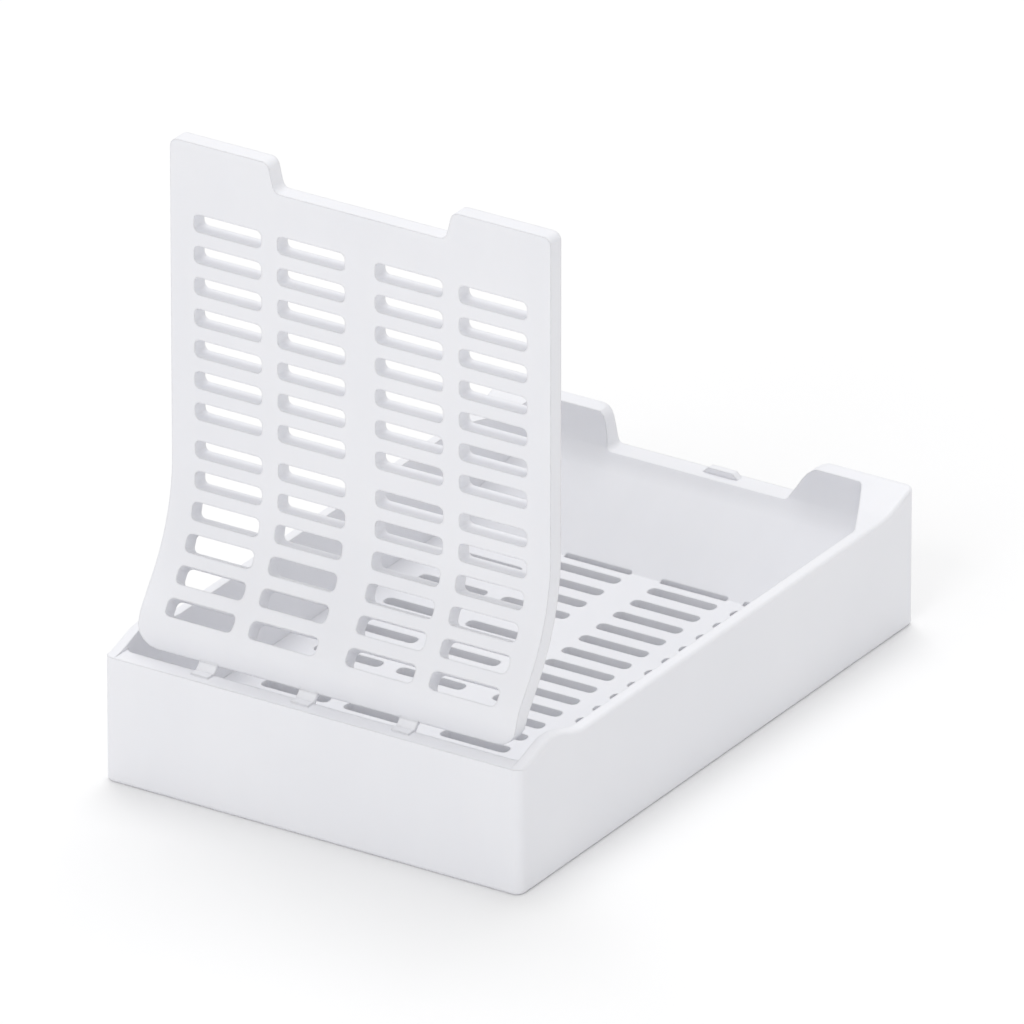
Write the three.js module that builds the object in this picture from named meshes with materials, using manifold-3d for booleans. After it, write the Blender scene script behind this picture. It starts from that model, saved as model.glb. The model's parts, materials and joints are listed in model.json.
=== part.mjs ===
// Histology cassette, standing open: a perforated tray with a slanted label panel and
// three thin hinge webs, and a perforated lid that steps forward to its hinge lip. It is
// one moulding, parted here only where the webs meet the lid.
//
// Millimetres. X runs across the tray, Y from the hinge end to the label end, Z up.
// The tray stands on z = 0 and the origin is under the middle of it.

import * as THREE from 'three';
import { mergeGeometries, mergeVertices } from 'three/addons/utils/BufferGeometryUtils.js';
import Module from 'manifold-3d';

const wasm = await Module();
wasm.setup();

// ---------------------------------------------------------------- driving dimensions

// Tray walls and floor
const TRAY_WIDTH = 28.5;
const TRAY_LENGTH = 43;
const RIM_HEIGHT = 8;
const SIDE_WALL = 0.75;
const FRONT_WALL = 1.2;
const FLOOR_THICKNESS = 1;
const FOOT_HEIGHT = 1; // the walls reach this far below the floor
const CORNER_RADIUS = 0.6; // upright outside corners
const INNER_RADIUS = 0.5; // upright inside corners at the hinge end
const EDGE_ROUND = 0.25; // outside edges of the rim and the foot

// Low ears on the side walls, beside the hinge
const EAR_RISE = 0.8;
const EAR_LENGTH = 7;

// Slanted label panel between the side walls, at the far end
const PANEL_ANGLE = THREE.MathUtils.degToRad(37);
const PANEL_THICKNESS = 1;
const LEDGE_DEPTH = 1; // flat top edge of the panel
const LEDGE_DROP = 1.55; // from the rim down to that edge
const PANEL_BLEND = 3; // radius between the panel and the posts' upright faces
const NOTCH_WIDTH = 12.4;

// Corner posts either side of the notch, and the ramps that climb to them
const POST_RISE = 0.9;
const LEFT_SLANT = 0.55; // run of the left post's sloping inner side, along X
const LEFT_ROUND = 1;
const RIGHT_SLANT = 1.5; // the right post's side slopes more
const RIGHT_ROUND = 2.2;
const NOTCH_ROUND = 0.35;
const RAMP_LENGTH = 3;
const RAMP_ROUND = 4.5;
const POST_LAND = 0.35; // flat top of a post, along Y
const CORNER_ALONG = 4.6; // slanting inside face of a corner, along Y
const CORNER_ACROSS = 2.35; // and along X
const CORNER_ROUND = 0.45;

// Latch nib on the panel's top edge
const NIB_WIDTH = 2.4;
const NIB_HEIGHT = 0.35;
const NIB_OFFSET = 1.25; // off the middle of the notch
const NIB_INSET = 0.25;

// Slots, in two columns either side of a wide middle rib
const MIDDLE_RIB = 2.05;
const COLUMN_RIB = 1.1;
const SLOT_MARGIN = 1.6; // from the outer slots to the lid's long edges
const SLOT_ROUND = 0.35;
const LID_SLOT_HEIGHT = 1.1;
const LID_ROW_PITCH = 1.98;
const LID_BAND = 0.45; // extra web between the two blocks of rows
const LID_TOP_MARGIN = 4.9; // from the tab ends to the middle of the first row
const LID_LIP_MARGIN = 2.4; // from the middle of the last row to the lip
const FLOOR_SLOT_WIDTH = 0.87;
const FLOOR_ROW_PITCH = 1.87;
const FLOOR_END_MARGIN = 1.3; // from the end rows to the front wall and the panel
const DRAIN_WIDTH = 0.35; // slots along the panel's foot
const DRAIN_ROUND = 0.12;

// Lid: an upright plate that steps forward to its hinge lip
const LID_THICKNESS = 1.1;
const LID_SIDE_GAP = 0.6;
const LID_END_GAP = 5.6; // from the shut lid's tabs to the panel
const LID_STEP = 3.7;
const SWEEP_RADIUS = 12; // of the long bend below the plate, at mid-thickness
const LIP_BEND_RADIUS = 2; // of the short bend above the lip
const BEND_ANGLE = THREE.MathUtils.degToRad(36);
const LIP_LENGTH = 0.9;
const LIP_SETBACK = 0.45; // from the front wall's inner face to the lip
const LIP_HEIGHT = 0.4; // from the rim to the lip's lower edge
const TAB_NOTCH_WIDTH = 11.6;
const TAB_NOTCH_DEPTH = 1.8;
const TAB_NOTCH_SLANT = 0.45;
const TAB_ROUND = 0.5;
const LIP_ROUND = 1.3;

// Hinge webs, moulded on the front wall and parted from the lip by a narrow cut
const HINGE_SETBACK = 0.3; // hinge line behind the front wall's inner face
const HINGE_RISE = 0.3; // and above the rim
const WEB_COUNT = 3;
const WEB_PITCH = 6.85;
const WEB_OFFSET = -1.15; // of the row of webs from the middle
const WEB_WIDTH = 1.2;
const WEB_THICKNESS = 0.2;
const WEB_ROOT = 0.9; // depth of a web's foot below the rim
const WEB_CUT = 0.3;

// Faceting and cutting
const ARC_SEGMENTS = 4;
const EAR_SEGMENTS = 10;
const EDGE_SEGMENTS = 3;
const SWEEP_SEGMENTS = 12;
const LIP_BEND_SEGMENTS = 4;
const OVERSHOOT = 1; // how far cutters run past what they cut

// ---------------------------------------------------------------- derived dimensions

const halfWidth = TRAY_WIDTH / 2;
const insideHalf = halfWidth - SIDE_WALL;
const floorTop = FOOT_HEIGHT + FLOOR_THICKNESS;
const ledgeHeight = RIM_HEIGHT - LEDGE_DROP;
const postTop = RIM_HEIGHT + POST_RISE;
const insideEnd = TRAY_LENGTH - LEDGE_DEPTH;
const panelFall = PANEL_THICKNESS / Math.cos(PANEL_ANGLE);
const panelFoot = panelY(floorTop);

const hingeY = FRONT_WALL + HINGE_SETBACK;
const hingeZ = RIM_HEIGHT + HINGE_RISE;

const lidWidth = 2 * (insideHalf - LID_SIDE_GAP);
const lipFront = FRONT_WALL + LIP_SETBACK;
const lipBottom = RIM_HEIGHT + LIP_HEIGHT;
const plateBack = lipFront + LID_STEP + LID_THICKNESS;
// Shut, the plate's back faces the floor at this height, and its tabs stop short of the panel.
const shutUnderside = hingeZ - (plateBack - hingeY);
const lidTop = hingeZ + panelY(shutUnderside) - LID_END_GAP - hingeY;

const slotLength = (lidWidth - 2 * SLOT_MARGIN - MIDDLE_RIB - 2 * COLUMN_RIB) / 4;
const columnCentres = [
  -MIDDLE_RIB / 2 - 1.5 * slotLength - COLUMN_RIB,
  -MIDDLE_RIB / 2 - 0.5 * slotLength,
  MIDDLE_RIB / 2 + 0.5 * slotLength,
  MIDDLE_RIB / 2 + 1.5 * slotLength + COLUMN_RIB,
];

// Where the panel's inner face is at a height z.
function panelY(z) {
  return insideEnd - (ledgeHeight - z) / Math.tan(PANEL_ANGLE);
}

// Height of the panel's inner face, carried on past its ends, at a place y.
function panelZ(y) {
  return ledgeHeight + (y - insideEnd) * Math.tan(PANEL_ANGLE);
}

// ---------------------------------------------------------------- outlines and solids

// Points of the arc that rounds a corner between the directions back and ahead.
function cornerArc(corner, back, ahead, radius) {
  if (radius === 0) {
    return [corner];
  }
  const half = Math.acos(back.dot(ahead)) / 2;
  const middle = back.clone().add(ahead).normalize();
  const centre = corner.clone().addScaledVector(middle, radius / Math.sin(half));
  const reach = radius / Math.tan(half);
  const first = corner.clone().addScaledVector(back, reach).sub(centre);
  const last = corner.clone().addScaledVector(ahead, reach).sub(centre);
  const sweep = Math.atan2(first.cross(last), first.dot(last));
  return Array.from({ length: ARC_SEGMENTS + 1 }, (_, i) =>
    first.clone().rotateAround(new THREE.Vector2(), (sweep * i) / ARC_SEGMENTS).add(centre),
  );
}

// A closed shape through corners [a, b, radius]; a corner with no radius stays sharp.
function outline(corners) {
  const points = corners.flatMap(([a, b, radius = 0], i) => {
    const corner = new THREE.Vector2(a, b);
    const [beforeA, beforeB] = corners.at(i - 1);
    const [afterA, afterB] = corners[(i + 1) % corners.length];
    const back = new THREE.Vector2(beforeA, beforeB).sub(corner).normalize();
    const ahead = new THREE.Vector2(afterA, afterB).sub(corner).normalize();
    return cornerArc(corner, back, ahead, radius);
  });
  return new THREE.Shape(points);
}

// A rectangle about the origin with rounded corners.
function roundedRectangle(width, height, radius) {
  return outline([
    [-width / 2, -height / 2, radius],
    [width / 2, -height / 2, radius],
    [width / 2, height / 2, radius],
    [-width / 2, height / 2, radius],
  ]);
}

// A shape drawn out along z from 0 to depth, with its end edges rounded to a radius.
function extrude(shape, depth, round = 0) {
  return new THREE.ExtrudeGeometry(shape, {
    depth: depth - 2 * round,
    bevelEnabled: round > 0,
    bevelThickness: round,
    bevelSize: round,
    bevelOffset: -round,
    bevelSegments: EDGE_SEGMENTS,
  }).translate(0, 0, round);
}

// An (x, y) shape standing from z = low to z = high.
function prismZ(shape, low, high, round = 0) {
  return extrude(shape, high - low, round).translate(0, 0, low);
}

// A (y, z) shape running from x = low to x = high.
function prismX(shape, low, high, round = 0) {
  const turn = new THREE.Matrix4().makeBasis(
    new THREE.Vector3(0, 1, 0),
    new THREE.Vector3(0, 0, 1),
    new THREE.Vector3(1, 0, 0),
  );
  return extrude(shape, high - low, round).applyMatrix4(turn).translate(low, 0, 0);
}

// An (x, z) shape running from y = low to y = high.
function prismY(shape, low, high, round = 0) {
  return extrude(shape, high - low, round).rotateX(Math.PI / 2).translate(0, high, 0);
}

// A closed geometry as a solid that can be joined and cut.
function solid(geometry) {
  const bare = geometry.clone();
  bare.deleteAttribute('normal');
  bare.deleteAttribute('uv');
  const merged = mergeVertices(bare, 1e-5);
  return new wasm.Manifold(
    new wasm.Mesh({
      numProp: 3,
      vertProperties: new Float32Array(merged.attributes.position.array),
      triVerts: new Uint32Array(merged.index.array),
    }),
  );
}

function geometryOf(body) {
  const { vertProperties, triVerts } = body.getMesh();
  const geometry = new THREE.BufferGeometry();
  geometry.setAttribute('position', new THREE.BufferAttribute(vertProperties, 3));
  geometry.setIndex(new THREE.BufferAttribute(triVerts, 1));
  geometry.computeVertexNormals();
  return geometry;
}

// ---------------------------------------------------------------- tray

// Outside form: the plan outline, cut to the height of the side walls along their length.
function trayBlock() {
  const plan = roundedRectangle(TRAY_WIDTH, TRAY_LENGTH, CORNER_RADIUS);
  const block = prismZ(plan, 0, postTop, EDGE_ROUND).translate(0, TRAY_LENGTH / 2, 0);
  const wallSide = prismX(rimProfile(), -halfWidth, halfWidth, EDGE_ROUND);
  return solid(block).intersect(solid(wallSide));
}

// Side wall seen square on: an ear beside the hinge, then level, then the ramp to the post.
function rimProfile() {
  const ear = Array.from({ length: EAR_SEGMENTS + 1 }, (_, i) => {
    const along = i / EAR_SEGMENTS;
    return [along * EAR_LENGTH, RIM_HEIGHT + EAR_RISE * Math.sin(Math.PI * along) ** 2];
  });
  return outline([
    ...ear,
    [TRAY_LENGTH - RAMP_LENGTH, RIM_HEIGHT, RAMP_ROUND],
    [TRAY_LENGTH - POST_LAND, postTop, POST_LAND],
    [TRAY_LENGTH, postTop],
    [TRAY_LENGTH, 0],
    [0, 0],
  ]);
}

// The room inside: straight side walls that close in at the far corners, over the floor
// and the slanted panel.
function compartment() {
  const cornerStart = insideEnd - CORNER_ALONG;
  const cornerHalf = insideHalf - CORNER_ACROSS;
  const plan = outline([
    [-insideHalf, FRONT_WALL, INNER_RADIUS],
    [insideHalf, FRONT_WALL, INNER_RADIUS],
    [insideHalf, cornerStart, CORNER_ROUND],
    [cornerHalf, insideEnd, CORNER_ROUND],
    [-cornerHalf, insideEnd, CORNER_ROUND],
    [-insideHalf, cornerStart, CORNER_ROUND],
  ]);
  const side = outline([
    [0, floorTop],
    [panelFoot, floorTop],
    [insideEnd, ledgeHeight, PANEL_BLEND],
    [insideEnd, postTop + OVERSHOOT],
    [0, postTop + OVERSHOOT],
  ]);
  const room = solid(prismZ(plan, floorTop, postTop + OVERSHOOT));
  return room.intersect(solid(prismX(side, -halfWidth, halfWidth)));
}

// The room below the floor and behind the panel, open at the far end.
function underside() {
  const farY = TRAY_LENGTH + OVERSHOOT;
  const side = outline([
    [FRONT_WALL, -OVERSHOOT],
    [farY, -OVERSHOOT],
    [farY, panelZ(farY) - panelFall],
    [panelY(FOOT_HEIGHT + panelFall), FOOT_HEIGHT],
    [FRONT_WALL, FOOT_HEIGHT],
  ]);
  return solid(prismX(side, -insideHalf, insideHalf));
}

// What is cut from the far end above the panel, leaving the two posts.
function farNotch() {
  const foot = NOTCH_WIDTH / 2;
  const farHalf = halfWidth + OVERSHOOT;
  const silhouette = outline([
    [-farHalf, 0],
    [farHalf, 0],
    [farHalf, postTop],
    [foot + RIGHT_SLANT, postTop, RIGHT_ROUND],
    [foot, ledgeHeight, NOTCH_ROUND],
    [-foot, ledgeHeight, NOTCH_ROUND],
    [-foot - LEFT_SLANT, postTop, LEFT_ROUND],
    [-farHalf, postTop],
  ]);
  const slab = outline([
    [-farHalf, OVERSHOOT],
    [farHalf, OVERSHOOT],
    [farHalf, postTop + OVERSHOOT],
    [-farHalf, postTop + OVERSHOOT],
  ]);
  const nearY = insideEnd - PANEL_BLEND;
  const farY = TRAY_LENGTH + OVERSHOOT;
  return solid(prismY(slab, nearY, farY)).subtract(
    solid(prismY(silhouette, nearY - OVERSHOOT, farY + OVERSHOOT)),
  );
}

// Keeps the front wall level between the ears.
function frontTrim() {
  const trim = outline([
    [-OVERSHOOT, RIM_HEIGHT],
    [FRONT_WALL + INNER_RADIUS, RIM_HEIGHT],
    [FRONT_WALL + INNER_RADIUS, postTop],
    [-OVERSHOOT, postTop],
  ]);
  return solid(prismX(trim, -insideHalf, insideHalf));
}

// The slots of one row, cut straight down at a place y.
function floorRow(y, width, round) {
  const slot = roundedRectangle(slotLength, width, round);
  return columnCentres.map((x) => prismZ(slot, 0, ledgeHeight).translate(x, y, 0));
}

function floorSlots() {
  const lastRow = panelFoot - FLOOR_END_MARGIN;
  const run = lastRow - (FRONT_WALL + FLOOR_END_MARGIN);
  const rowCount = Math.floor(run / FLOOR_ROW_PITCH) + 1;
  const rows = Array.from({ length: rowCount }, (_, i) =>
    floorRow(lastRow - i * FLOOR_ROW_PITCH, FLOOR_SLOT_WIDTH, SLOT_ROUND),
  );
  const drains = floorRow(panelFoot, DRAIN_WIDTH, DRAIN_ROUND);
  return solid(mergeGeometries([...rows.flat(), ...drains]));
}

function latchNib() {
  const half = NIB_WIDTH / 2;
  const bump = outline([
    [NIB_OFFSET - half, ledgeHeight - NIB_HEIGHT],
    [NIB_OFFSET + half, ledgeHeight - NIB_HEIGHT],
    [NIB_OFFSET + half, ledgeHeight],
    [NIB_OFFSET + half - NIB_HEIGHT, ledgeHeight + NIB_HEIGHT, NIB_HEIGHT / 2],
    [NIB_OFFSET - half + NIB_HEIGHT, ledgeHeight + NIB_HEIGHT, NIB_HEIGHT / 2],
    [NIB_OFFSET - half, ledgeHeight],
  ]);
  return solid(prismY(bump, insideEnd + NIB_INSET, TRAY_LENGTH - NIB_INSET));
}

// Short thin straps that run up the front wall's inner face and past the rim.
function hingeWebs() {
  const strap = roundedRectangle(WEB_WIDTH, WEB_THICKNESS + FRONT_WALL / 2, 0);
  const middleY = FRONT_WALL + WEB_THICKNESS / 2 - FRONT_WALL / 4;
  const high = lipBottom - WEB_CUT;
  const webs = Array.from({ length: WEB_COUNT }, (_, i) => {
    const x = WEB_OFFSET + (i - (WEB_COUNT - 1) / 2) * WEB_PITCH;
    return prismZ(strap, RIM_HEIGHT - WEB_ROOT, high).translate(x, middleY, 0);
  });
  return solid(mergeGeometries(webs));
}

function trayGeometry() {
  const shell = trayBlock()
    .subtract(compartment())
    .subtract(underside())
    .subtract(farNotch())
    .subtract(frontTrim())
    .subtract(floorSlots());
  return geometryOf(shell.add(latchNib()).add(hingeWebs()));
}

// ---------------------------------------------------------------- lid

// Runs of the lid's mid-thickness line, from the lip upwards: each starts at a length
// along the line, a point and a heading from upright, and turns at a steady rate.
function lidRuns() {
  const radii = LIP_BEND_RADIUS + SWEEP_RADIUS;
  const sine = Math.sin(BEND_ANGLE);
  const cosine = Math.cos(BEND_ANGLE);
  const slope = (LID_STEP - radii * (1 - cosine)) / sine;
  const rise = LIP_LENGTH + radii * sine + slope * cosine;
  const pieces = [
    { length: LIP_LENGTH, turn: 0, steps: 1 },
    { length: LIP_BEND_RADIUS * BEND_ANGLE, turn: BEND_ANGLE, steps: LIP_BEND_SEGMENTS },
    { length: slope, turn: 0, steps: 1 },
    { length: SWEEP_RADIUS * BEND_ANGLE, turn: -BEND_ANGLE, steps: SWEEP_SEGMENTS },
    { length: lidTop - lipBottom - rise, turn: 0, steps: 1 },
  ];
  let start = 0;
  let heading = 0;
  let point = new THREE.Vector2(lipFront + LID_THICKNESS / 2, lipBottom);
  return pieces.map((piece) => {
    const run = { ...piece, start, heading, point };
    const end = placeOnRun(run, piece.length);
    start += piece.length;
    heading = end.heading;
    point = end.point;
    return run;
  });
}

// The point and heading at a length along one run; a heading of 0 is straight up.
function placeOnRun(run, along) {
  const half = (run.turn * along) / run.length / 2;
  const chord = half === 0 ? along : (along * Math.sin(half)) / half;
  const course = run.heading + half;
  const step = new THREE.Vector2(Math.sin(course), Math.cos(course)).multiplyScalar(chord);
  return { point: run.point.clone().add(step), heading: run.heading + 2 * half };
}

const lidLine = lidRuns();
const lidLength = lidLine.at(-1).start + lidLine.at(-1).length;

function placeOnLid(along) {
  const run = lidLine.findLast((candidate) => along >= candidate.start) ?? lidLine[0];
  return placeOnRun(run, along - run.start);
}

// Points along one face of the lid, offset from the mid-thickness line.
function lidFace(offset) {
  const places = lidLine.flatMap((run) =>
    Array.from({ length: run.steps }, (_, i) => placeOnRun(run, (run.length * i) / run.steps)),
  );
  places.push(placeOnLid(lidLength));
  return places.map(({ point, heading }) => [
    point.x + offset * Math.cos(heading),
    point.y - offset * Math.sin(heading),
  ]);
}

function lidPlate() {
  const front = lidFace(-LID_THICKNESS / 2);
  const back = lidFace(LID_THICKNESS / 2);
  const section = outline([...back, ...front.reverse()]);
  return solid(prismX(section, -lidWidth / 2, lidWidth / 2));
}

// Lid seen from the front: two tabs with a notch between them, and a rounded lip.
function lidSilhouette() {
  const half = lidWidth / 2;
  const notchFoot = TAB_NOTCH_WIDTH / 2;
  const notchTop = notchFoot + TAB_NOTCH_SLANT;
  const notchBase = lidTop - TAB_NOTCH_DEPTH;
  const front = outline([
    [-half, lipBottom, LIP_ROUND],
    [half, lipBottom, LIP_ROUND],
    [half, lidTop, TAB_ROUND],
    [notchTop, lidTop, TAB_ROUND],
    [notchFoot, notchBase, TAB_ROUND],
    [-notchFoot, notchBase, TAB_ROUND],
    [-notchTop, lidTop, TAB_ROUND],
    [-half, lidTop, TAB_ROUND],
  ]);
  return solid(prismY(front, lipFront - OVERSHOOT, plateBack + OVERSHOOT));
}

// The slots of one row, cut square through the lid at a length along it.
function lidRow(along) {
  const { point, heading } = placeOnLid(along);
  const depth = LID_THICKNESS + 2 * OVERSHOOT;
  return columnCentres.map((x) =>
    prismY(roundedRectangle(slotLength, LID_SLOT_HEIGHT, SLOT_ROUND), -depth / 2, depth / 2)
      .rotateX(-heading)
      .translate(x, point.x, point.y),
  );
}

// Two blocks of rows with a wider web between them; an odd row goes to the upper block.
function lidSlots() {
  const room = lidLength - LID_TOP_MARGIN - LID_LIP_MARGIN - LID_BAND;
  const rowCount = Math.floor(room / LID_ROW_PITCH) + 1;
  const lowerRows = Math.floor(rowCount / 2);
  const rows = Array.from({ length: rowCount }, (_, i) => {
    const band = i < lowerRows ? 0 : LID_BAND;
    return lidRow(LID_LIP_MARGIN + i * LID_ROW_PITCH + band);
  });
  return solid(mergeGeometries(rows.flat()));
}

function lidGeometry() {
  return geometryOf(lidPlate().intersect(lidSilhouette()).subtract(lidSlots()));
}

// ---------------------------------------------------------------- assembly

const plasticWhite = {
  color: 0xe4e5ea,
  roughness: 0.42,
  metalness: 0,
  flatShading: true,
};

function named(name, geometry) {
  const mesh = new THREE.Mesh(geometry, new THREE.MeshStandardMaterial(plasticWhite));
  mesh.name = name;
  return mesh;
}

const cassette = new THREE.Group();
cassette.add(named('tray', trayGeometry()));
cassette.add(named('lid', lidGeometry()));
cassette.position.y = -TRAY_LENGTH / 2;

export default cassette;
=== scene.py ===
# %% [markdown]
# # A tissue cassette, dressed for the studio
#
# Pathology laboratories carry small pieces of tissue through their baths of solvent and
# wax in a cassette like this one. It is a single injection moulding in white acetal: a
# slotted tray, a slotted lid, and three thin webs that hinge the one to the other.
#
# The solids come from the CAD model. This file gives them what a mould and a camera
# give: soft edges, a satin skin, the thin webs of the hinge, and studio light. It starts
# by loading the solids, and it never moves them, so every length below is in metres and
# in their frame: +X across the tray, +Y from the hinge end to the label end, +Z up.

# %% Load the solids
import json
import math

import bmesh
import bpy
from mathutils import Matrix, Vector


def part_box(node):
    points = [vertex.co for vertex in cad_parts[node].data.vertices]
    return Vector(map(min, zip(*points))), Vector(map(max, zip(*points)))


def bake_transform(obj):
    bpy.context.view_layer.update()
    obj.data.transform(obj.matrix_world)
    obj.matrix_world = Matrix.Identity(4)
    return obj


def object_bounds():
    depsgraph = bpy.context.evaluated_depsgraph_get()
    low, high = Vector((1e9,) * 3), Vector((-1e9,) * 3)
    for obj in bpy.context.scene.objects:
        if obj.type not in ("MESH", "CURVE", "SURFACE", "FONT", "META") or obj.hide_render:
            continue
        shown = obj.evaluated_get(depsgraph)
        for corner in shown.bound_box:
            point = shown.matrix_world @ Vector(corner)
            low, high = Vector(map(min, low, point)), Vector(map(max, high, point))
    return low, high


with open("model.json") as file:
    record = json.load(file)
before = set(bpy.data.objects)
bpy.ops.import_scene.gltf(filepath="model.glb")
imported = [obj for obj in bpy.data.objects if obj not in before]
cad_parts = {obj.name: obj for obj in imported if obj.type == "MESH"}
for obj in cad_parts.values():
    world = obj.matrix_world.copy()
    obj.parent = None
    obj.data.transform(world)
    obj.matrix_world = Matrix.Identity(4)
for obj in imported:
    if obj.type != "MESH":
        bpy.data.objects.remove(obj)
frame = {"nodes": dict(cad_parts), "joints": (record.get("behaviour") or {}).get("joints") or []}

MM = 0.001

cad_low, cad_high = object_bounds()
tray_low, tray_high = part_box("tray")
lid_low, lid_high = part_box("lid")
hinge = Vector(frame["joints"][0]["pos_m"])
size_mm = [round((high - low) / MM, 2) for low, high in zip(cad_low, cad_high)]
print("whole cassette, mm:", size_mm)
print("hinge line at y, z, mm:", round(hinge.y / MM, 2), round(hinge.z / MM, 2))

# %% [markdown]
# ## Writing shader maths
#
# A finish is a field of numbers over a surface: how cloudy the plastic is here, how deep
# the grain is there. Wiring Math nodes by hand hides that. `Field` wraps one output
# socket and lets Python's own operators add the nodes, so `0.4 + 0.1 * cloud` reads as
# what it does. `Finish` owns a material, and its one method adds any other node.

# %% Fields and finishes


class Field:
    """A value that varies over a surface, held as one output socket."""

    def __init__(self, finish, socket):
        self.finish = finish
        self.socket = socket

    def _math(self, operation, *terms):
        return self.finish.add("Math", {"operation": operation}, dict(enumerate(terms)))

    def __add__(self, other):
        return self._math("ADD", self, other)

    def __rsub__(self, other):
        return self._math("SUBTRACT", other, self)

    def __mul__(self, other):
        return self._math("MULTIPLY", self, other)

    __radd__ = __add__
    __rmul__ = __mul__

    def step(self, start, end):
        """0 where the value is below start, 1 above end, and smooth between them."""
        settings = {"interpolation_type": "SMOOTHSTEP", "clamp": True}
        return self.finish.add("MapRange", settings, {0: self, 1: start, 2: end})


class Finish:
    """A node material whose Principled shader takes numbers, colours and fields."""

    def __init__(self, name):
        self.material = bpy.data.materials.new(name)
        self.material.use_nodes = True
        self.tree = self.material.node_tree
        self.shader = self.tree.nodes["Principled BSDF"]

    def add(self, kind, settings=None, inputs=None, output=0):
        """Adds a node: its settings come first, then the values or links of its sockets."""
        node = self.tree.nodes.new("ShaderNode" + kind)
        for key, value in (settings or {}).items():
            setattr(node, key, value)
        for key, value in (inputs or {}).items():
            self.feed(node.inputs[key], value)
        return Field(self, node.outputs[output])

    def feed(self, socket, value):
        """Links a field to a socket, or sets the socket to a plain value."""
        if isinstance(value, Field):
            self.tree.links.new(value.socket, socket)
        else:
            socket.default_value = value

    def set(self, **values):
        """Sets the shader's sockets; an underscore stands for a space in a socket's name."""
        for name, value in values.items():
            self.feed(self.shader.inputs[name.replace("_", " ")], value)


def separate(finish, vector):
    """The x, y and z of a vector, as three fields."""
    return [finish.add("SeparateXYZ", {}, {0: vector}, axis) for axis in range(3)]


def noise(finish, place, size, detail=2.0, roughness=0.5):
    """Cloudy noise between 0 and 1, with features about the given size across."""
    inputs = {"Vector": place, "Scale": 1 / size, "Detail": detail, "Roughness": roughness}
    return finish.add("TexNoise", {"noise_dimensions": "3D"}, inputs)


def blend_colours(finish, share, first, second):
    """The first colour where share is 0, the second where it is 1."""
    return finish.add("Mix", {"data_type": "RGBA"}, {0: share, 6: first, 7: second}, 2)


print("shader helpers ready")

# %% [markdown]
# ## The plastic
#
# Acetal is a cool white with a satin skin. It is a little translucent, so the thin ribs
# between the slots glow where light comes through them. The mould's walls were sparked
# to a fine even grain, which keeps the walls from mirroring the lamps. Three slow
# variations keep the colour from looking painted: clouds where the melt cooled unevenly,
# faint flow lines that fan out from the gate at the hinge end, and slight hollows, called
# sinks, over the large faces.
#
# No moulded edge is sharp. The cutter that makes the mould leaves a small radius in every
# corner, and that radius catches a soft line of light that tells the eye how thick a wall
# is. The solids carry the large rounds. A Bevel modifier could cut the small ones into the
# mesh, but around the slots it has no room: it shrinks to almost nothing, or folds over
# itself. A Bevel node does it in the finish instead. It turns the normal gradually within
# a short distance of each edge, and needs no room at all.
#
# The label panel's outer face is a special case. It is etched dull so that pencil and
# printer ink hold, so its grain is coarser and its gloss lower.

# %% Moulded white plastic
PLASTIC_WHITE = (0.842, 0.845, 0.875, 1.0)
PLASTIC_CLOUD = (0.820, 0.824, 0.857, 1.0)
CLOUD_SIZE = 9 * MM
CLOUD_EDGES = (0.3, 0.7)
CLOUD_SHARE = 0.7
STREAK_SIZE = 2.2 * MM
STREAK_EDGES = (0.35, 0.65)
STREAK_STRETCH = (1.0, 0.12, 0.3)
GRAIN_SIZE = 0.16 * MM
GRAIN_DEPTH = 0.0022 * MM
SINK_SIZE = 7 * MM
SINK_DEPTH = 0.012 * MM
EDGE_ROUND = 0.14 * MM
EDGE_SAMPLES = 4
SATIN = 0.40
SATIN_CLOUD = 0.06
SATIN_GRAIN = 0.05
PANEL_START = tray_high.y - 5.5 * MM
PANEL_FADE = 1 * MM
PANEL_GRAIN = 2.5
PANEL_DULLNESS = 0.22
# How far a face looks down, as the z of its normal: the panel leans, the undersides lie flat
LEANING = (-0.5, -0.7)
LYING_FLAT = (-0.9, -0.97)


def label_panel(finish, place):
    """1 on the underside of the slanted panel at the tray's far end, 0 elsewhere."""
    _, along, _ = separate(finish, place)
    normal = finish.add("NewGeometry", {}, {}, "Normal")
    _, _, upward = separate(finish, normal)
    leaning = upward.step(*LEANING) * (1 - upward.step(*LYING_FLAT))
    return leaning * along.step(PANEL_START - PANEL_FADE, PANEL_START)


def moulded_plastic():
    finish = Finish("moulded_white_plastic")
    place = finish.add("TexCoord", {}, {}, "Object")
    panel = label_panel(finish, place)
    cloud = noise(finish, place, CLOUD_SIZE, detail=3.0)
    stretch = {"operation": "MULTIPLY"}
    streak_place = finish.add("VectorMath", stretch, {0: place, 1: STREAK_STRETCH})
    streak = noise(finish, streak_place, STREAK_SIZE)
    cloudy = cloud.step(*CLOUD_EDGES) * CLOUD_SHARE
    streaky = streak.step(*STREAK_EDGES) * (1 - CLOUD_SHARE)
    grain = noise(finish, place, GRAIN_SIZE, roughness=0.6)
    sink = noise(finish, place, SINK_SIZE, detail=1.0)
    relief = grain * GRAIN_DEPTH * (1 + panel * (PANEL_GRAIN - 1)) + sink * SINK_DEPTH
    rounded = finish.add("Bevel", {"samples": EDGE_SAMPLES}, {"Radius": EDGE_ROUND})
    surface = {"Strength": 1.0, "Distance": 1.0, "Height": relief, "Normal": rounded}
    finish.set(
        Base_Color=blend_colours(finish, cloudy + streaky, PLASTIC_WHITE, PLASTIC_CLOUD),
        Roughness=SATIN + cloud * SATIN_CLOUD + grain * SATIN_GRAIN + panel * PANEL_DULLNESS,
        Normal=finish.add("Bump", {}, surface),
        IOR=1.48,
        Subsurface_Weight=0.15,
        Subsurface_Radius=(1.0, 0.95, 0.9),
        Subsurface_Scale=0.5 * MM,
    )
    return finish.material


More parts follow.
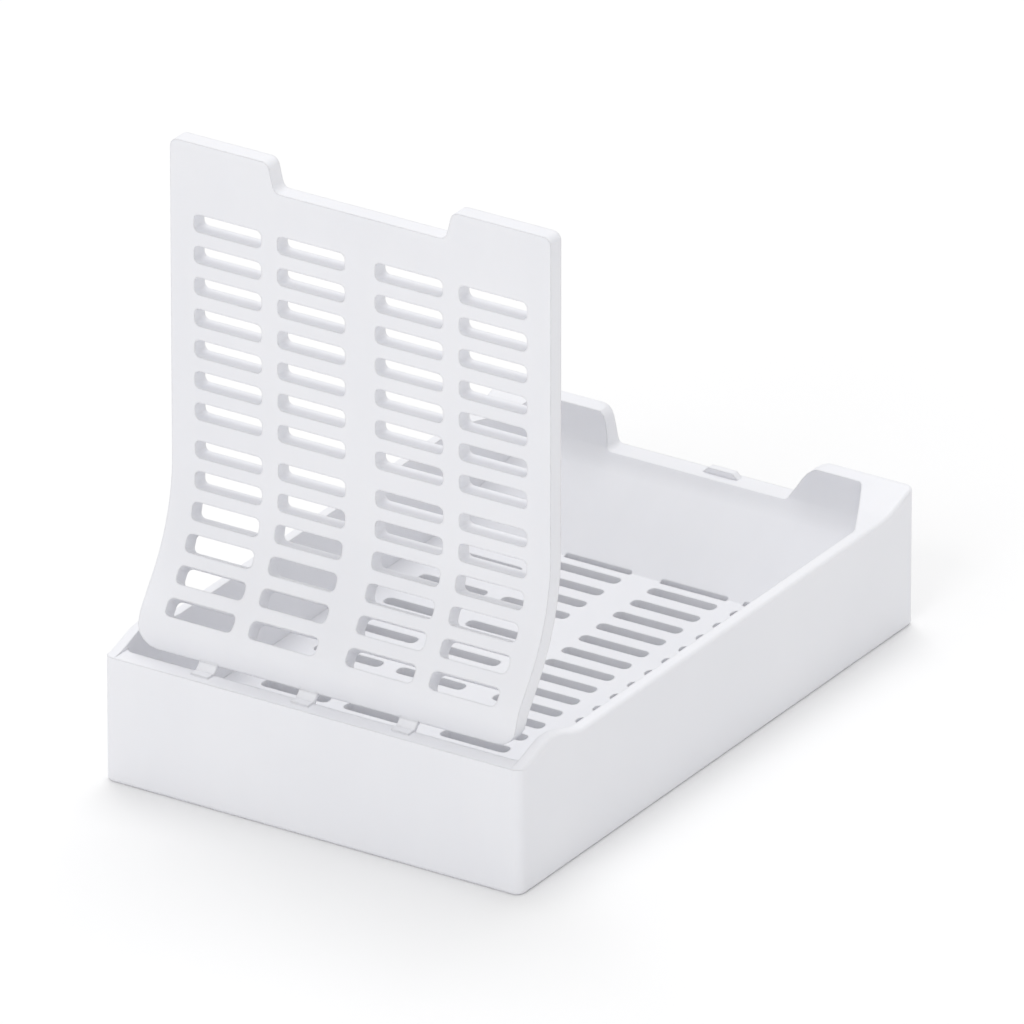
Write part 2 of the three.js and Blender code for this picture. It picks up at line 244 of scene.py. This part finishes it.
plastic = moulded_plastic()
print("plastic nodes:", len(plastic.node_tree.nodes))

# %% [markdown]
# ## Smooth bends, crisp corners
#
# The solids are made of triangles, and the lid's bends are made of flat strips. They could
# be built again as curved surfaces, but they are the part's own solids and stay as they
# are. A stack of modifiers lets them shade as what they stand for: weld the triangles'
# corners together, dissolve the flat triangles into plain faces, shade each shallow edge
# smooth with a small geometry node tree, and lean the normals towards the larger faces, so
# that a flat face beside a bend still looks flat.

# %% Shading
WELD_DISTANCE = 0.002 * MM
FLAT_ANGLE = math.radians(0.6)
SHARP_ANGLE = math.radians(36)


def smooth_shading_tree():
    """A node group that shades a mesh smooth, apart from edges sharper than a limit."""
    tree = bpy.data.node_groups.new("smooth_below_angle", "GeometryNodeTree")
    tree.interface.new_socket("Geometry", in_out="INPUT", socket_type="NodeSocketGeometry")
    tree.interface.new_socket("Geometry", in_out="OUTPUT", socket_type="NodeSocketGeometry")
    entry = tree.nodes.new("NodeGroupInput")
    leave = tree.nodes.new("NodeGroupOutput")
    faces = tree.nodes.new("GeometryNodeSetShadeSmooth")
    faces.inputs["Shade Smooth"].default_value = True
    edges = tree.nodes.new("GeometryNodeSetShadeSmooth")
    edges.domain = "EDGE"
    edges.inputs["Shade Smooth"].default_value = False
    angle = tree.nodes.new("GeometryNodeInputMeshEdgeAngle")
    sharp = tree.nodes.new("FunctionNodeCompare")
    sharp.operation = "GREATER_THAN"
    sharp.inputs["B"].default_value = SHARP_ANGLE
    tree.links.new(angle.outputs["Unsigned Angle"], sharp.inputs["A"])
    tree.links.new(entry.outputs[0], faces.inputs["Geometry"])
    tree.links.new(faces.outputs[0], edges.inputs["Geometry"])
    tree.links.new(sharp.outputs["Result"], edges.inputs["Selection"])
    tree.links.new(edges.outputs[0], leave.inputs[0])
    return tree


shading = smooth_shading_tree()


def shade(piece):
    """Adds the modifiers that shade a faceted solid as the smooth one it stands for."""
    weld = piece.modifiers.new("weld", "WELD")
    weld.merge_threshold = WELD_DISTANCE
    flat = piece.modifiers.new("flat_faces", "DECIMATE")
    flat.decimate_type = "DISSOLVE"
    flat.angle_limit = FLAT_ANGLE
    smooth = piece.modifiers.new("smooth_shading", "NODES")
    smooth.node_group = shading
    weights = piece.modifiers.new("face_weights", "WEIGHTED_NORMAL")
    weights.keep_sharp = True


for name in ("tray", "lid"):
    node = frame["nodes"][name]
    node.data.materials.clear()
    node.data.materials.append(plastic)
    shade(node)
    graph = bpy.context.evaluated_depsgraph_get()
    print(name, "plain faces:", len(node.evaluated_get(graph).data.polygons))

# %% [markdown]
# ## The living hinge
#
# Three straps of the same plastic, a quarter of a millimetre thick, join the tray's rim
# to the lid's lip. They bend again and again before they crack, because the melt's long
# molecules were drawn out along them as the mould filled. The CAD model has to part the
# moulding there, so that the lid can turn. Here each strap is whole again: a ribbon that
# starts inside the rim, covers the end of the tray's own stub of web and runs up into the
# lip.

# %% Hinge webs
WEB_PITCH = 6.85 * MM
WEB_MIDDLE = -1.15 * MM
WEB_CENTRES = [WEB_MIDDLE + step * WEB_PITCH for step in (-1, 0, 1)]
WEB_WIDTH = 1.24 * MM
WEB_THICKNESS = 0.24 * MM
WEB_EDGE_ROUND = 0.06 * MM
FRONT_WALL = 1.2 * MM
HINGE_RISE = 0.3 * MM
WALL_INSIDE = tray_low.y + FRONT_WALL
RIM = hinge.z - HINGE_RISE


def web_path():
    """The middle of a web in its (y, z) plane, from inside the rim up into the lip."""
    lip = lid_low.z
    return [
        Vector((WALL_INSIDE - 0.16 * MM, RIM - 0.34 * MM)),
        Vector((WALL_INSIDE - 0.08 * MM, RIM - 0.14 * MM)),
        Vector((WALL_INSIDE + 0.06 * MM, RIM + 0.02 * MM)),
        Vector((WALL_INSIDE + 0.22 * MM, RIM + 0.14 * MM)),
        Vector((WALL_INSIDE + 0.32 * MM, RIM + 0.25 * MM)),
        Vector((WALL_INSIDE + 0.39 * MM, RIM + 0.37 * MM)),
        Vector((WALL_INSIDE + 0.46 * MM, lip - 0.09 * MM)),
        Vector((WALL_INSIDE + 0.54 * MM, lip + 0.06 * MM)),
        Vector((WALL_INSIDE + 0.60 * MM, lip + 0.22 * MM)),
        Vector((WALL_INSIDE + 0.61 * MM, lip + 0.4 * MM)),
    ]


def ribbon(name, path, centre_x, width, thickness):
    """A flat strap along a path in the (y, z) plane."""
    mesh = bmesh.new()
    rings = []
    for i, point in enumerate(path):
        ahead = path[min(i + 1, len(path) - 1)] - path[max(i - 1, 0)]
        across = Vector((-ahead.y, ahead.x)).normalized() * thickness / 2
        corners = [
            (-width / 2, across),
            (width / 2, across),
            (width / 2, -across),
            (-width / 2, -across),
        ]
        rings.append(
            [mesh.verts.new((centre_x + x, *(point + side))) for x, side in corners]
        )
    for ring, after in zip(rings, rings[1:]):
        for i in range(4):
            j = (i + 1) % 4
            mesh.faces.new((ring[i], ring[j], after[j], after[i]))
    mesh.faces.new(rings[0][::-1])
    mesh.faces.new(rings[-1])
    bmesh.ops.recalc_face_normals(mesh, faces=mesh.faces)
    data = bpy.data.meshes.new(name)
    mesh.to_mesh(data)
    mesh.free()
    piece = bpy.data.objects.new(name, data)
    bpy.context.scene.collection.objects.link(piece)
    return piece


def hinge_web(name, centre_x):
    """One strap of the hinge, from inside the tray's rim up into the lid's lip."""
    piece = ribbon(name, web_path(), centre_x, WEB_WIDTH, WEB_THICKNESS)
    piece.data.materials.append(plastic)
    rounds = piece.modifiers.new("edge_rounds", "BEVEL")
    rounds.width = WEB_EDGE_ROUND
    rounds.segments = 2
    rounds.limit_method = "ANGLE"
    rounds.angle_limit = SHARP_ANGLE
    smooth = piece.modifiers.new("smooth_shading", "NODES")
    smooth.node_group = shading
    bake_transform(piece)
    return piece


webs = [hinge_web(f"hinge_web_{i + 1}", x) for i, x in enumerate(WEB_CENTRES)]
print("hinge webs:", len(webs))

# %% [markdown]
# ## The studio
#
# A catalogue shot of white plastic on white: a pale floor that runs out of sight, and pale
# surroundings that fill the shadows. White on white is told apart by small steps in tone,
# and two soft lamps make them. One stands in front of the hinge end and low, so the front
# wall and the lid come out a little lighter than the side wall. The other hangs above and
# behind, to the left. It makes the rims and ramps the brightest, leaves the label panel,
# which leans away from it, a soft grey, and gathers a shadow close along the foot.

# %% Floor
FLOOR_SIZE = 4.0
FLOOR_LIGHT = (0.93, 0.93, 0.93, 1.0)
FLOOR_SHADE = (0.92, 0.92, 0.923, 1.0)
MOTTLE_SIZE = 0.12


def studio_floor():
    finish = Finish("studio_floor")
    place = finish.add("TexCoord", {}, {}, "Object")
    mottle = noise(finish, place, MOTTLE_SIZE)
    finish.set(
        Base_Color=blend_colours(finish, mottle, FLOOR_LIGHT, FLOOR_SHADE),
        Roughness=0.7,
    )
    bpy.ops.mesh.primitive_plane_add(size=FLOOR_SIZE)
    floor = bpy.context.object
    floor.name = "studio_floor"
    floor.data.materials.append(finish.material)
    return floor


floor = studio_floor()
print("floor side, m:", FLOOR_SIZE)

# %% Lamps
middle = Vector([(low + high) / 2 for low, high in zip(cad_low, cad_high)])


def soft_lamp(name, place, size, power):
    """A square lamp that faces the middle of the cassette."""
    data = bpy.data.lights.new(name, "AREA")
    data.size = size
    data.energy = power
    lamp = bpy.data.objects.new(name, data)
    lamp.location = middle + Vector(place)
    lamp.rotation_euler = (-Vector(place)).to_track_quat("-Z", "Y").to_euler()
    bpy.context.scene.collection.objects.link(lamp)
    return lamp


def pale_surroundings(strength):
    """An even white world, which lights every side alike."""
    world = bpy.data.worlds.new("pale_surroundings")
    world.use_nodes = True
    background = world.node_tree.nodes["Background"]
    background.inputs["Color"].default_value = (1.0, 1.0, 1.0, 1.0)
    background.inputs["Strength"].default_value = strength
    bpy.context.scene.world = world


soft_lamp("key_lamp", place=(0.06, -0.77, 0.56), size=0.40, power=1.45)
soft_lamp("top_lamp", place=(-0.22, 0.36, 1.13), size=0.60, power=4.75)
pale_surroundings(strength=0.73)
bpy.context.scene.view_settings.view_transform = "Standard"
print("lamps placed about", [round(v / MM, 1) for v in middle])

# %% [markdown]
# ## The camera
#
# The cassette is seen from its hinge end, turned so that one long side shows, and from a
# little above. A short lens close by would fan its edges out. A long one from well back
# keeps them almost parallel.

# %% Camera
AZIMUTH = math.radians(32.5)
ELEVATION = math.radians(25.5)
DISTANCE = 1.4
LENS = 850.0
AIM_DROP = 7.4 * MM
AIM = middle - Vector((0.0, 0.0, AIM_DROP))


def place_camera():
    """A camera on a line from the aim point, turned by the azimuth and raised."""
    back = Vector(
        (
            math.sin(AZIMUTH) * math.cos(ELEVATION),
            -math.cos(AZIMUTH) * math.cos(ELEVATION),
            math.sin(ELEVATION),
        )
    )
    data = bpy.data.cameras.new("camera")
    data.lens = LENS
    data.clip_start = 0.01
    data.clip_end = 20
    camera = bpy.data.objects.new("camera", data)
    camera.location = AIM + back * DISTANCE
    camera.rotation_euler = (-back).to_track_quat("-Z", "Y").to_euler()
    bpy.context.scene.collection.objects.link(camera)
    bpy.context.scene.camera = camera
    return camera


camera = place_camera()
print("camera at, m:", [round(v, 3) for v in camera.location])
